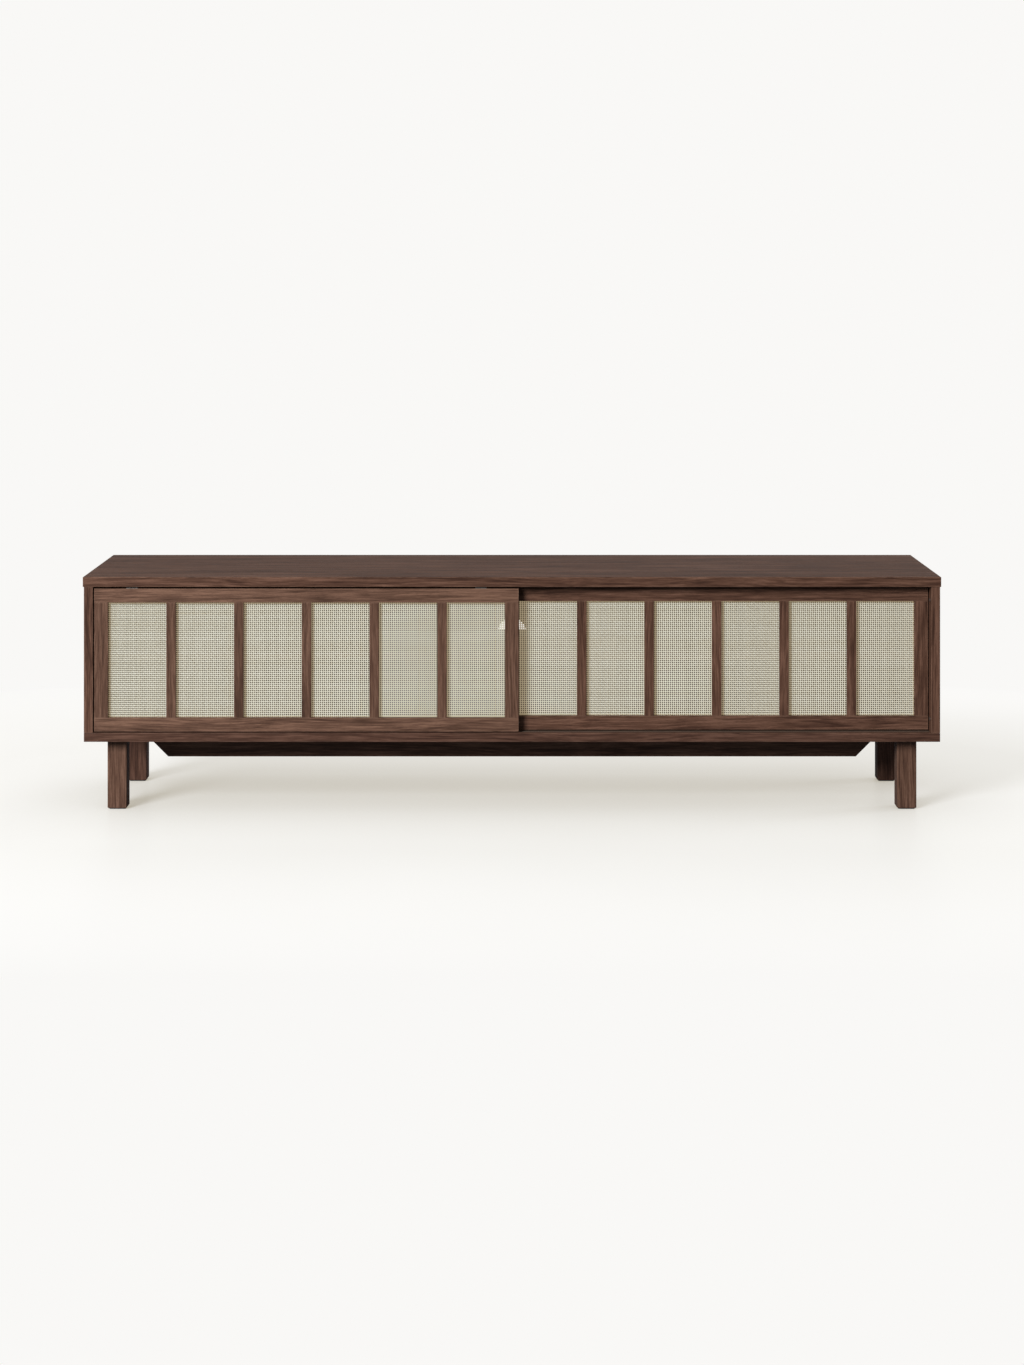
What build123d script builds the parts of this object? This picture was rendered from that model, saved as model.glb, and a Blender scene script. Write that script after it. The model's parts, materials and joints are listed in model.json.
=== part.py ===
from build123d import *
import os

# A long, low media cabinet on four square legs, with two bypass sliding doors of framed cane.
# Millimetres. +X runs to the right along the front, +Y to the back and +Z up. The origin is on
# the floor, under the middle of the top.

# ---- Driving dimensions ----

# Whole cabinet
overall_width = 1800.0
overall_depth = 400.0
overall_height = 495.0

# Case boards
top_thickness = 21.0
board_thickness = 19.0
top_overhang = 2.0  # past the case, at the front and at both ends
top_easing = 1.2  # radius on every outer edge of the top
board_easing = 0.8  # radius on every outer edge of the other boards
back_thickness = 6.0
back_rebate = 8.0  # how far the back panel reaches into each board
cable_hole_radius = 32.0

# Divider and shelves
divider_setback = 50.0  # case front to the divider's front edge
shelf_setback = 60.0  # case front to a shelf's front edge
shelf_thickness = 18.0
shelf_end_gap = 1.0
shelf_back_gap = 12.0  # open slot behind a shelf, for cables
shelf_pin_radius = 2.5
shelf_pin_reach = 8.0  # how far a pin stands out under the shelf
shelf_pin_skin = 3.0  # wood left between the pins on the divider's two sides
shelf_pin_inset = 40.0  # from a shelf's front or back edge

# Legs, glides and stiffener beam
leg_width = 41.0
leg_length = 147.0
leg_side_inset = 43.5  # case end to leg
leg_edge_inset = 36.5  # case front or back to leg
leg_rounding = 3.0
leg_foot_chamfer = 1.5
glide_width = 35.0
glide_thickness = 2.0
glide_rounding = 4.0
leg_stud_radius = 4.0
leg_stud_depth = 30.0  # into the leg
insert_radius = 6.0
insert_skin = 6.0  # wood left over an insert
insert_spare = 1.0  # insert left empty over the stud
beam_thickness = 19.0
beam_height = 68.0
beam_end_inset = 83.0  # case end to the beam's long edge; its ends are cut at 45 degrees

# Joint hardware of the case
dowel_radius = 4.0
dowel_in_board = 12.0  # into the top, the bottom panel
dowel_in_upright = 23.0  # into a side or the divider
dowel_inset = 70.0  # from the divider's front edge, and from the back panel
cam_radius = 7.5
cam_floor = 1.0  # cam left beyond its bolt
cam_from_end = 34.0
cam_bolt_radius = 3.0
cam_bolt_in_board = 11.0
cam_inset = 30.0  # from the divider's front edge, and from the back panel

# Screws
beam_screw_count = 6
beam_screw_inset = 54.0  # from the ends of the beam's lower edge
beam_screw_radius = 2.25
beam_screw_length = 50.0
beam_screw_head_radius = 4.5
beam_screw_head_height = 2.7
back_screw_radius = 1.5
back_screw_length = 18.0
back_screw_head_radius = 3.0
back_screw_head_height = 1.8
back_screws_along = 7  # along the top, and along the bottom
back_screws_up = 2  # up each side

# Sliding doors
door_thickness = 19.0
door_setback = 3.0  # case front to the front door's face
door_gap = 3.5  # between the two doors
door_end_gap = 2.0  # door edge to side panel
door_floor_gap = 2.0
door_head_gap = 4.0
door_overlap = 28.0
frame_width = 29.0  # rails and stiles
frame_easing = 0.6
muntin_count = 5
muntin_width = 20.0
muntin_thickness = 9.0
rebate_width = 8.0
cane_thickness = 1.6
cane_edge_gap = 0.5
bead_recess = 0.5  # bead face below the door's back
door_dowel_radius = 3.0
door_dowel_depth = 15.0
door_dowel_margin = 6.0
muntin_dowel_radius = 2.0
muntin_dowel_depth = 10.0
pad_radius = 4.0
pad_thickness = 2.0
pad_inset = 25.0  # from the rear door's left edge
buffer_radius = 4.0
buffer_thickness = 1.5
buffer_inset = 25.0  # from a door's lower and upper edge

# Tracks, rollers and guides
hardware_inset = 79.0  # door edge to roller and guide
track_wall = 2.0
track_base = 1.5
lower_channel_depth = 5.0
upper_channel_depth = 6.5
channel_clearance = 0.5  # each side of a roller or a guide plunger
track_end_gap = 1.0
roller_radius = 9.0
roller_width = 5.0
roller_rim_rounding = 1.0
roller_clearance = 0.3  # roller to channel floor
axle_radius = 2.0
axle_fit = 0.05
slot_clearance = 1.0
housing_wall = 2.5
housing_roof = 3.0
housing_length = 40.0
flange_length = 52.0
flange_thickness = 1.5
flange_lip = 1.0
guide_length = 24.0
guide_thickness = 13.0
guide_proud = 1.5  # guide housing above the top rail
guide_skin = 2.0  # wood left between guide housing and cane rebate
plunger_length = 20.0
plunger_height = 11.0
plunger_engagement = 5.0  # into the upper channel
plunger_drop = 6.0
plunger_clearance = 0.3
spring_radius = 1.8  # centreline of the wire
spring_wire_radius = 0.3
spring_clearance = 0.3
spring_turns = 7
spring_seat_wall = 1.5

# ---- Worked out from them ----

case_half = overall_width / 2 - top_overhang
inner_half = case_half - board_thickness
top_front = -overall_depth / 2
case_front = top_front + top_overhang
case_back = overall_depth / 2
back_panel_front = case_back - back_thickness
bottom_low = glide_thickness + leg_length
inner_low = bottom_low + board_thickness
inner_high = overall_height - top_thickness
inner_middle = (inner_low + inner_high) / 2
divider_half = board_thickness / 2
divider_front = case_front + divider_setback
beam_half_length = case_half - beam_end_inset - beam_height
dowel_rows = (divider_front + dowel_inset, back_panel_front - dowel_inset)
cam_rows = (divider_front + cam_inset, back_panel_front - cam_inset)

shelf_front = case_front + shelf_setback
shelf_back = back_panel_front - shelf_back_gap
shelf_low = inner_middle - shelf_thickness / 2
shelf_pin_depth = (board_thickness - shelf_pin_skin) / 2

front_door_face = case_front + door_setback
rear_door_face = front_door_face + door_thickness + door_gap
door_pitch = door_thickness + door_gap
door_low = inner_low + door_floor_gap
door_high = inner_high - door_head_gap
door_width = inner_half + door_overlap / 2 - door_end_gap
front_door_left = -inner_half + door_end_gap
rear_door_left = inner_half - door_end_gap - door_width
front_track_y = front_door_face + door_thickness / 2

channel_width = roller_width + 2 * channel_clearance
lower_track_depth = lower_channel_depth + track_base
upper_track_depth = upper_channel_depth + track_base
track_half = inner_half - track_end_gap
roller_centre_z = inner_low - lower_channel_depth + roller_clearance + roller_radius
plunger_top = inner_high + plunger_engagement
plunger_low = plunger_top - plunger_height


# ---- Shapes ----


def block(x, y, z):
    """A box over three (low, high) ranges."""
    box = Box(x[1] - x[0], y[1] - y[0], z[1] - z[0])
    return Pos((x[0] + x[1]) / 2, (y[0] + y[1]) / 2, (z[0] + z[1]) / 2) * box


def eased_block(x, y, z, radius):
    """A box with every edge rounded over, as a sanded board has."""
    box = block(x, y, z)
    return fillet(box.edges(), radius)


def rod_x(x, y, z, radius):
    """A round rod along X over a (low, high) range."""
    return Pos((x[0] + x[1]) / 2, y, z) * Rot(0, 90, 0) * Cylinder(radius, x[1] - x[0])


def rod_y(x, y, z, radius):
    """A round rod along Y over a (low, high) range."""
    return Pos(x, (y[0] + y[1]) / 2, z) * Rot(90, 0, 0) * Cylinder(radius, y[1] - y[0])


def rod_z(x, y, z, radius):
    """A round rod along Z over a (low, high) range."""
    return Pos(x, y, (z[0] + z[1]) / 2) * Cylinder(radius, z[1] - z[0])


def screw(radius, length, head_radius, head_height):
    """A countersunk screw that points down from a head face at the origin."""
    head = Pos(0, 0, -head_height / 2) * Cone(radius, head_radius, head_height)
    shank = rod_z(0, 0, (-length, -head_height), radius)
    return head + shank


def cut(body, tools):
    """The body with every tool taken out of it."""
    for tool in tools:
        body = body - tool
    return body


def save(name, *pieces):
    """Write a node's solids to its own STEP file."""
    solids = [solid for piece in pieces for solid in piece.solids()]
    shape = solids[0] if len(solids) == 1 else Compound(solids)
    shape.label = name
    export_step(shape, f"parts/{name}.step")


# ---- Hardware that the boards are cut for ----


def uprights():
    """Middle plane, and the side its cams open to, of both sides and the divider."""
    side_middle = inner_half + board_thickness / 2
    return ((-side_middle, 1), (side_middle, -1), (0, 1))


def board_ends():
    """Where the uprights meet the bottom panel and the top, with the way into that board."""
    return ((inner_low, -1), (inner_high, 1))


def upright_joint(end, into_board, depth_in_board, depth_in_upright):
    """The Z range of a dowel or bolt across the joint at one end of an upright."""
    ends = (end + into_board * depth_in_board, end - into_board * depth_in_upright)
    return (min(ends), max(ends))


def case_dowels():
    """Dowels between the uprights and the top and bottom panels."""
    return [
        rod_z(x, y, upright_joint(z, way, dowel_in_board, dowel_in_upright), dowel_radius)
        for x, _ in uprights()
        for z, way in board_ends()
        for y in dowel_rows
    ]


def case_cam_bolts():
    """Bolts that the cams pull on."""
    return [
        rod_z(x, y, upright_joint(z, way, cam_bolt_in_board, cam_from_end), cam_bolt_radius)
        for x, _ in uprights()
        for z, way in board_ends()
        for y in cam_rows
    ]


def case_cams():
    """Round cams let into the uprights, open to the inside of the case."""
    cams = []
    for x, opens in uprights():
        face = x + opens * board_thickness / 2
        bottom = x - opens * (cam_bolt_radius + cam_floor)
        reach = (min(face, bottom), max(face, bottom))
        for z, way in board_ends():
            cams += [rod_x(reach, y, z - way * cam_from_end, cam_radius) for y in cam_rows]
    return cams


def shelf_pin_pairs():
    """Pins under both shelves, in the sides and in the divider."""
    pins = []
    for side in (-1, 1):
        for wall, inwards in ((side * inner_half, -side), (side * divider_half, side)):
            ends = (wall - inwards * shelf_pin_depth, wall + inwards * shelf_pin_reach)
            for y in (shelf_front + shelf_pin_inset, shelf_back - shelf_pin_inset):
                span = (min(ends), max(ends))
                pins.append(rod_x(span, y, shelf_low - shelf_pin_radius, shelf_pin_radius))
    return pins


def leg_places():
    """Name, X and Y of each leg's middle."""
    x = case_half - leg_side_inset - leg_width / 2
    front = case_front + leg_edge_inset + leg_width / 2
    rear = case_back - leg_edge_inset - leg_width / 2
    return {
        "front_left_leg": (-x, front),
        "front_right_leg": (x, front),
        "rear_left_leg": (-x, rear),
        "rear_right_leg": (x, rear),
    }


def leg_studs():
    """Studs that hold the legs to the inserts in the bottom panel."""
    top = inner_low - insert_skin - insert_spare
    low = bottom_low - leg_stud_depth
    return [rod_z(x, y, (low, top), leg_stud_radius) for x, y in leg_places().values()]


def insert_holes():
    """Blind holes for the inserts, from below."""
    span = (bottom_low, inner_low - insert_skin)
    return [rod_z(x, y, span, insert_radius) for x, y in leg_places().values()]


def beam_screws():
    """Screws down through the bottom panel into the stiffener beam."""
    one = screw(
        beam_screw_radius, beam_screw_length, beam_screw_head_radius, beam_screw_head_height
    )
    y = (case_front + case_back) / 2
    reach = beam_half_length - beam_screw_inset
    step = 2 * reach / (beam_screw_count - 1)
    return [Pos(i * step - reach, y, inner_low) * one for i in range(beam_screw_count)]


def back_screws():
    """Screws round the back panel's edge, into the boards in front of it."""
    one = screw(
        back_screw_radius, back_screw_length, back_screw_head_radius, back_screw_head_height
    )
    middle = back_rebate / 2
    half = inner_half - back_rebate
    places = []
    for i in range(back_screws_along):
        x = -half + 2 * half * i / (back_screws_along - 1)
        places += [(x, inner_low - middle), (x, inner_high + middle)]
    for i in range(back_screws_up):
        z = inner_low + (inner_high - inner_low) * (i + 1) / (back_screws_up + 1)
        places += [(-inner_half - middle, z), (inner_half + middle, z)]
    return [Pos(x, case_back, z) * Rot(-90, 0, 0) * one for x, z in places]


def track_box(z):
    """The space that a double track takes in its board."""
    reach = channel_width / 2 + track_wall
    y = (front_track_y - reach, front_track_y + door_pitch + reach)
    return block((-track_half, track_half), y, z)


def track_channels(z):
    """The two channels of a track."""
    return [
        block(
            (-track_half, track_half),
            (y - channel_width / 2, y + channel_width / 2),
            z,
        )
        for y in (front_track_y, front_track_y + door_pitch)
    ]


# ---- Case ----


def make_case():
    """Boards of the case with the back panel, and the hardware between them."""
    dowels = case_dowels()
    bolts = case_cam_bolts()
    cams = case_cams()
    pins = shelf_pin_pairs()
    holes = insert_holes()
    down_screws = beam_screws()
    rear_screws = back_screws()

    back_blank = block(
        (-inner_half - back_rebate, inner_half + back_rebate),
        (back_panel_front, case_back),
        (inner_low - back_rebate, inner_high + back_rebate),
    )
    lower_track_space = track_box((inner_low - lower_track_depth, inner_low))
    upper_track_space = track_box((inner_high, inner_high + upper_track_depth))

    top = eased_block(
        (-overall_width / 2, overall_width / 2),
        (top_front, case_back),
        (inner_high, overall_height),
        top_easing,
    )
    top_tools = [back_blank, upper_track_space, *dowels, *bolts, *rear_screws]
    save("top_panel", cut(top, top_tools))

    bottom = eased_block(
        (-case_half, case_half), (case_front, case_back), (bottom_low, inner_low), board_easing
    )
    bottom_tools = [back_blank, lower_track_space, *dowels, *bolts]
    save("bottom_panel", cut(bottom, bottom_tools + holes + down_screws + rear_screws))

    for name, side in (("left_side_panel", -1), ("right_side_panel", 1)):
        across = sorted((side * inner_half, side * case_half))
        panel = eased_block(across, (case_front, case_back), (inner_low, inner_high), board_easing)
        tools = [back_blank, *dowels, *bolts, *cams, *pins, *rear_screws]
        save(name, cut(panel, tools))

    divider = eased_block(
        (-divider_half, divider_half),
        (divider_front, back_panel_front),
        (inner_low, inner_high),
        board_easing,
    )
    notch = rod_x(
        (-board_thickness, board_thickness), back_panel_front, inner_middle, cable_hole_radius
    )
    save("centre_divider", cut(divider, [notch, *dowels, *bolts, *cams, *pins]))

    cable_hole = rod_y(
        0, (back_panel_front - 1, case_back + 1), inner_middle, cable_hole_radius
    )
    save("back_panel", cut(back_blank, [cable_hole, *rear_screws]))

    for name, side in (("left_shelf", -1), ("right_shelf", 1)):
        ends = (divider_half + shelf_end_gap, inner_half - shelf_end_gap)
        across = sorted((side * ends[0], side * ends[1]))
        z = (shelf_low, shelf_low + shelf_thickness)
        save(name, eased_block(across, (shelf_front, shelf_back), z, board_easing))

    save("shelf_pins", *pins)
    save("case_dowels", *dowels)
    save("cam_bolts", *bolts)
    save("cam_locks", *[cut(cam, bolts) for cam in cams])
    save("back_panel_screws", *rear_screws)


def make_tracks():
    """Lower running track and upper guide channel, flush with the boards."""
    lower = track_box((inner_low - lower_track_depth, inner_low))
    lower_cuts = track_channels((inner_low - lower_channel_depth, inner_low))
    save("lower_track", cut(lower, lower_cuts))
    upper = track_box((inner_high, inner_high + upper_track_depth))
    upper_cuts = track_channels((inner_high, inner_high + upper_channel_depth))
    save("upper_track", cut(upper, upper_cuts))


def make_buffers():
    """Clear buffers on the side panels, where the doors' edges stop."""
    buffers = []
    for side in (-1, 1):
        span = sorted((side * (inner_half - buffer_thickness), side * inner_half))
        for y in (front_track_y, front_track_y + door_pitch):
            for z in (door_low + buffer_inset, door_high - buffer_inset):
                buffers.append(rod_x(span, y, z, buffer_radius))
    save("door_buffers", *buffers)


# ---- Base ----


def make_legs():
    """Four square legs with their studs, inserts and glides."""
    studs = leg_studs()
    for name, (x, y) in leg_places().items():
        leg = Pos(x, y, glide_thickness + leg_length / 2) * Box(leg_width, leg_width, leg_length)
        leg = fillet(leg.edges().filter_by(Axis.Z), leg_rounding)
        leg = chamfer(leg.faces().sort_by(Axis.Z)[0].edges(), leg_foot_chamfer)
        save(name, cut(leg, studs))

    glides = []
    for x, y in leg_places().values():
        pad = Pos(x, y, glide_thickness / 2) * Box(glide_width, glide_width, glide_thickness)
        glides.append(fillet(pad.edges().filter_by(Axis.Z), glide_rounding))
    save("foot_glides", *glides)
    save("leg_studs", *studs)
    save("leg_inserts", *[cut(plug, studs) for plug in insert_holes()])


def make_beam():
    """The stiffener under the bottom panel, on edge, with both ends cut at 45 degrees."""
    long_half = beam_half_length + beam_height
    outline = Polygon(
        (-long_half, 0),
        (long_half, 0),
        (beam_half_length, -beam_height),
        (-beam_half_length, -beam_height),
        align=None,
    )
    middle = (case_front + case_back) / 2
    face = Plane((0, middle, bottom_low), x_dir=(1, 0, 0), z_dir=(0, -1, 0)) * outline
    beam = extrude(face, amount=beam_thickness / 2, both=True)
    beam = fillet(beam.edges().filter_by(Axis.X).sort_by(Axis.Z)[:2], board_easing)
    save("stiffener_beam", cut(beam, beam_screws()))
    save("beam_screws", *beam_screws())


# ---- Doors ----


def make_door(name, left, face, padded):
    """One sliding door: frame, muntins, cane, dowels, rollers and top guides.

    left is the X of its left edge and face the Y of its front face.
    """
    right = left + door_width
    back = face + door_thickness
    middle = face + door_thickness / 2
    open_x = (left + frame_width, right - frame_width)
    open_z = (door_low + frame_width, door_high - frame_width)
    rebate_x = (open_x[0] - rebate_width, open_x[1] + rebate_width)
    rebate_z = (open_z[0] - rebate_width, open_z[1] + rebate_width)
    cane_front = face + muntin_thickness
    rebate = block(rebate_x, (cane_front, back + 1), rebate_z)
    hardware_x = (left + hardware_inset, right - hardware_inset)

    dowels = []
    for outer, inner in ((left, rebate_x[0]), (right, rebate_x[1])):
        inwards = 1 if outer == left else -1
        for x in (outer + inwards * door_dowel_margin, inner - inwards * door_dowel_margin):
            for z in open_z:
                span = (z - door_dowel_depth, z + door_dowel_depth)
                dowels.append(rod_z(x, middle, span, door_dowel_radius))

    bay = (open_x[1] - open_x[0] - muntin_count * muntin_width) / (muntin_count + 1)
    muntin_lefts = [
        open_x[0] + bay + i * (bay + muntin_width) for i in range(muntin_count)
    ]
    for x in muntin_lefts:
        for z in open_z:
            span = (z - muntin_dowel_depth, z + muntin_dowel_depth)
            y = face + muntin_thickness / 2
            dowels.append(rod_z(x + muntin_width / 2, y, span, muntin_dowel_radius))

    roller_spaces = [roller_space(x, middle) for x in hardware_x]
    guide_spaces = [guide_space(x, middle) for x in hardware_x]

    bottom_rail = eased_block((left, right), (face, back), (door_low, open_z[0]), frame_easing)
    save(f"{name}_bottom_rail", cut(bottom_rail, [rebate, *dowels, *roller_spaces]))
    top_rail = eased_block((left, right), (face, back), (open_z[1], door_high), frame_easing)
    save(f"{name}_top_rail", cut(top_rail, [rebate, *dowels, *guide_spaces]))
    for side, across in (("left", (left, open_x[0])), ("right", (open_x[1], right))):
        stile = eased_block(across, (face, back), open_z, frame_easing)
        save(f"{name}_{side}_stile", cut(stile, [rebate, *dowels]))

    muntins = []
    for x in muntin_lefts:
        strip = eased_block((x, x + muntin_width), (face, cane_front), open_z, frame_easing)
        muntins.append(cut(strip, dowels))
    save(f"{name}_muntins", *muntins)
    save(f"{name}_dowels", *dowels)

    cane_x = (rebate_x[0] + cane_edge_gap, rebate_x[1] - cane_edge_gap)
    cane_z = (rebate_z[0] + cane_edge_gap, rebate_z[1] - cane_edge_gap)
    cane_back = cane_front + cane_thickness
    save(f"{name}_cane", block(cane_x, (cane_front, cane_back), cane_z))
    bead_y = (cane_back, back - bead_recess)
    save(
        f"{name}_cane_beads",
        block(rebate_x, bead_y, (rebate_z[0], open_z[0])),
        block(rebate_x, bead_y, (open_z[1], rebate_z[1])),
        block((rebate_x[0], open_x[0]), bead_y, open_z),
        block((open_x[1], rebate_x[1]), bead_y, open_z),
    )

    axles = [roller_axle(x, middle) for x in hardware_x]
    save(f"{name}_roller_axles", *axles)
    save(f"{name}_roller_housings", *[cut(roller_housing(x, middle), axles) for x in hardware_x])
    save(f"{name}_guide_housings", *[guide_housing(x, middle) for x in hardware_x])
    for side, x in zip(("left", "right"), hardware_x):
        save(f"{name}_{side}_roller", roller(x, middle))
        save(f"{name}_{side}_guide_plunger", guide_plunger(x, middle))
        save(f"{name}_{side}_guide_spring", guide_spring(x, middle))

    if padded:
        pad_span = (face - pad_thickness, face)
        pad = rod_y(left + pad_inset, pad_span, door_low + frame_width / 2, pad_radius)
        save(f"{name}_spacer_pad", pad)


def roller_space(x, y):
    """What a roller housing takes out of the bottom rail."""
    width = channel_width + 2 * housing_wall
    top = roller_centre_z + roller_radius + slot_clearance + housing_roof
    body = block(
        (x - housing_length / 2, x + housing_length / 2),
        (y - width / 2, y + width / 2),
        (door_low, top),
    )
    flange = block(
        (x - flange_length / 2, x + flange_length / 2),
        (y - width / 2 - flange_lip, y + width / 2 + flange_lip),
        (door_low, door_low + flange_thickness),
    )
    return body + flange


def roller_housing(x, y):
    """The housing, with the slot that its roller turns in."""
    half = roller_radius + slot_clearance
    slot = block(
        (x - half, x + half),
        (y - channel_width / 2, y + channel_width / 2),
        (door_low - 1, roller_centre_z + half),
    )
    return roller_space(x, y) - slot


def roller_axle(x, y):
    """The pin that a roller turns on, from wall to wall of its housing."""
    half = channel_width / 2 + housing_wall
    return rod_y(x, (y - half, y + half), roller_centre_z, axle_radius)


def roller(x, y):
    """A roller that runs in the lower track, free on its axle."""
    span = (y - roller_width / 2, y + roller_width / 2)
    wheel = rod_y(x, span, roller_centre_z, roller_radius)
    wheel = fillet(wheel.edges().filter_by(GeomType.CIRCLE), roller_rim_rounding)
    return wheel - rod_y(x, span, roller_centre_z, axle_radius + axle_fit)


def guide_low():
    """The lowest level of a guide housing."""
    return door_high - frame_width + rebate_width + guide_skin


def guide_space(x, y):
    """What a guide housing takes out of the top rail."""
    return block(
        (x - guide_length / 2, x + guide_length / 2),
        (y - guide_thickness / 2, y + guide_thickness / 2),
        (guide_low(), door_high + guide_proud),
    )


def guide_housing(x, y):
    """The housing, with a pocket for its plunger and a bore for the spring."""
    half_length = plunger_length / 2 + plunger_clearance
    half_width = roller_width / 2 + plunger_clearance
    pocket_floor = plunger_low - plunger_drop - plunger_clearance
    pocket = block(
        (x - half_length, x + half_length),
        (y - half_width, y + half_width),
        (pocket_floor, door_high + guide_proud + 1),
    )
    radius = spring_radius + spring_wire_radius + spring_clearance
    bore = rod_z(x, y, (guide_low() + spring_seat_wall, pocket_floor), radius)
    return guide_space(x, y) - pocket - bore


def guide_plunger(x, y):
    """The sprung plunger that runs in the upper track, as thick as a roller."""
    plunger = block(
        (x - plunger_length / 2, x + plunger_length / 2),
        (y - roller_width / 2, y + roller_width / 2),
        (plunger_low, plunger_top),
    )
    return fillet(plunger.edges().filter_by(Axis.Z), roller_rim_rounding)


def guide_spring(x, y):
    """The coil spring from the floor of its bore to the plunger."""
    low = guide_low() + spring_seat_wall + spring_wire_radius
    height = plunger_low - spring_wire_radius - low
    path = Helix(pitch=height / spring_turns, height=height, radius=spring_radius)
    section = Plane(origin=path @ 0, z_dir=path % 0) * Circle(spring_wire_radius)
    return Pos(x, y, low) * sweep(section, path=path, is_frenet=True)


os.makedirs("parts", exist_ok=True)
make_case()
make_tracks()
make_buffers()
make_legs()
make_beam()
make_door("front_door", front_door_left, front_door_face, padded=False)
make_door("rear_door", rear_door_left, rear_door_face, padded=True)
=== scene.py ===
"""Looks for a long media cabinet with two sliding doors of framed cane webbing.

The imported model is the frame: boards, legs, door frames and tracks keep their shapes and get
their finishes here. The webbing, the back panel's screws and the guides' coils are built here.
"""

import json
import logging
import math
from dataclasses import dataclass, field
from enum import Enum

import bpy
import numpy as np
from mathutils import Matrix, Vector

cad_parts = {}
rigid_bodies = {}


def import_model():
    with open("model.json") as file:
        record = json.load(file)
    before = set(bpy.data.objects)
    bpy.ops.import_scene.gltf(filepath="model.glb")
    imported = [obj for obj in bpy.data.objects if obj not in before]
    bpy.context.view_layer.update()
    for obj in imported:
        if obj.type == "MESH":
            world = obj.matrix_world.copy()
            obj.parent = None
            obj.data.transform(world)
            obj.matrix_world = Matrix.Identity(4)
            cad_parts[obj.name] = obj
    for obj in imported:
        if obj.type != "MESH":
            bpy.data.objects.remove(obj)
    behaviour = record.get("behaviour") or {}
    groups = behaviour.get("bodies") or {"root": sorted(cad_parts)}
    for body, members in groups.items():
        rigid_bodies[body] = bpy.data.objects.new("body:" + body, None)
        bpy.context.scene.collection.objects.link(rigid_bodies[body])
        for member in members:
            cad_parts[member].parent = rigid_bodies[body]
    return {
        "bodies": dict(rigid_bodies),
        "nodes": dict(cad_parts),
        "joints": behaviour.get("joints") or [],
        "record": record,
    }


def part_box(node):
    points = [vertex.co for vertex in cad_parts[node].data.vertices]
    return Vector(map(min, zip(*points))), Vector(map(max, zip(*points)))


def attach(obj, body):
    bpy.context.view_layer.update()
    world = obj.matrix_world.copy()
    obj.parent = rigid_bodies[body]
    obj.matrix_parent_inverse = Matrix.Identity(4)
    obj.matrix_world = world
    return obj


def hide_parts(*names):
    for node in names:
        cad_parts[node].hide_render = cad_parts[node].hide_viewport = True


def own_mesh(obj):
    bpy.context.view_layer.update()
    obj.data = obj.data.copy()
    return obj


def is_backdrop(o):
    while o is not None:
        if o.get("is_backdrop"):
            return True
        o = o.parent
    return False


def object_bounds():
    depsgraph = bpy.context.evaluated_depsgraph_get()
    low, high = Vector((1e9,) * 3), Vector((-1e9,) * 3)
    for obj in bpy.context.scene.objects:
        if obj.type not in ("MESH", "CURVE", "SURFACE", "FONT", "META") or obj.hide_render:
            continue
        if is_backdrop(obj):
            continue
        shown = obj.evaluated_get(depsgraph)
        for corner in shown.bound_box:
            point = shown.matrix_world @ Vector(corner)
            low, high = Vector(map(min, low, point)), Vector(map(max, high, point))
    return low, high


log = logging.getLogger("cabinet")

Rgb = tuple[float, float, float]
Vec = tuple[float, float, float]
Span = tuple[float, float]

MM = 0.001


class Grain(Enum):
    """The way a board's fibres run, as the turn that lays them along the shader's X."""

    ALONG_X = (0.0, 0.0, 0.0)
    ALONG_Z = (0.0, math.pi / 2, 0.0)


# ---------------------------------------------------------------- node graphs


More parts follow.
